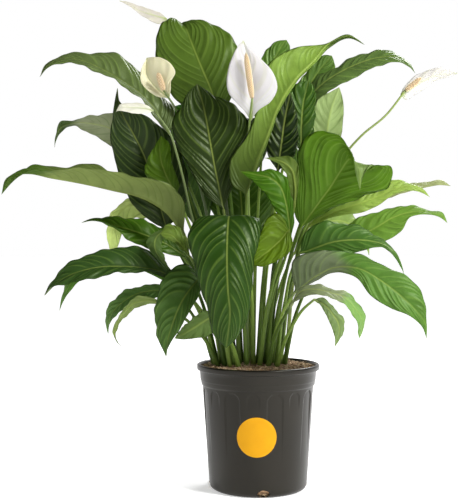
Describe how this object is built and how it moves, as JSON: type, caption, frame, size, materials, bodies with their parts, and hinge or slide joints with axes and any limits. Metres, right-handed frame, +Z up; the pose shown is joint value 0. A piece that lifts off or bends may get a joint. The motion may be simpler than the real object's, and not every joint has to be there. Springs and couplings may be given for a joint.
{
  "type": "potted peace lily",
  "caption": "Peace lily with broad arching leaves and white hooded flowers, growing in a round fluted nursery pot filled with potting mix.",
  "frame": {"origin": "middle of the underside of the pot's base, on the surface it stands on", "axes": "+Z up along the pot's axis, -Y towards the front of the plant, +X to the plant's right as seen from the front"},
  "size_m": [0.905, 0.5165, 1.0318],
  "materials": {
    "pot_plastic": "moulded, satin",
    "potting_mix": "loose fibres and bark",
    "label": "smooth sticker",
    "leaf_dark": "glossy leaf",
    "leaf_mid": "glossy leaf",
    "leaf_bright": "glossy leaf",
    "leaf_pale": "soft leaf underside",
    "flower_stalk": "smooth stalk",
    "spathe": "soft waxy petal",
    "spadix": "bumpy florets"
  },
  "bodies": {
    "root": {"pot": "pot_plastic", "potting_mix": "potting_mix", "pot_label": "label", "leaf_left_crest": "leaf_mid", "leaf_left_high_arch": "leaf_dark", "leaf_left_shaded_arch": "leaf_pale", "leaf_left_upright": "leaf_dark", "leaf_left_small_bright": "leaf_bright", "leaf_left_long": "leaf_pale", "leaf_left_olive": "leaf_bright", "leaf_centre_glossy": "leaf_dark", "leaf_front_droop": "leaf_dark", "leaf_low_left_droop": "leaf_dark", "leaf_left_level": "leaf_mid", "leaf_left_back_level": "leaf_mid", "leaf_left_middle": "leaf_dark", "leaf_left_pale_droop": "leaf_pale", "leaf_left_striped_small": "leaf_pale", "leaf_low_left_dark": "leaf_dark", "leaf_low_left_curled": "leaf_pale", "leaf_low_front_pale": "leaf_pale", "leaf_right_behind_flower": "leaf_dark", "leaf_right_great_lime": "leaf_bright", "leaf_right_high_tip": "leaf_dark", "leaf_right_high_arch": "leaf_dark", "leaf_right_upright": "leaf_dark", "leaf_right_striped": "leaf_pale", "leaf_right_great_bright": "leaf_bright", "leaf_right_lime_level": "leaf_bright", "leaf_right_back_level": "leaf_mid", "leaf_right_bright_level": "leaf_bright", "leaf_right_dark_level": "leaf_dark", "leaf_low_right_recurved": "leaf_mid", "leaf_centre_twisted": "leaf_bright", "leaf_centre_olive": "leaf_pale", "leaf_centre_cupped": "leaf_bright", "leaf_right_shaded": "leaf_dark", "leaf_low_right_narrow": "leaf_mid", "leaf_low_right_small": "leaf_mid", "leaf_back_left_high": "leaf_mid", "leaf_back_centre_high": "leaf_dark", "leaf_back_right_high": "leaf_mid", "leaf_back_right_low": "leaf_mid", "leaf_back_left_low": "leaf_dark", "leaf_back_centre_low": "leaf_dark", "spathe_front": "spathe", "spathe_left_cupped": "spathe", "spathe_left_furled": "spathe", "spathe_high_left": "spathe", "spathe_right": "spathe", "spadix_front": "spadix", "spadix_left": "spadix", "spadix_right": "spadix", "stalk_front_flower": "flower_stalk", "stalk_left_flower": "flower_stalk", "stalk_furled_flower": "flower_stalk", "stalk_high_flower": "flower_stalk", "stalk_right_flower": "flower_stalk"}
  },
  "joints": []
}
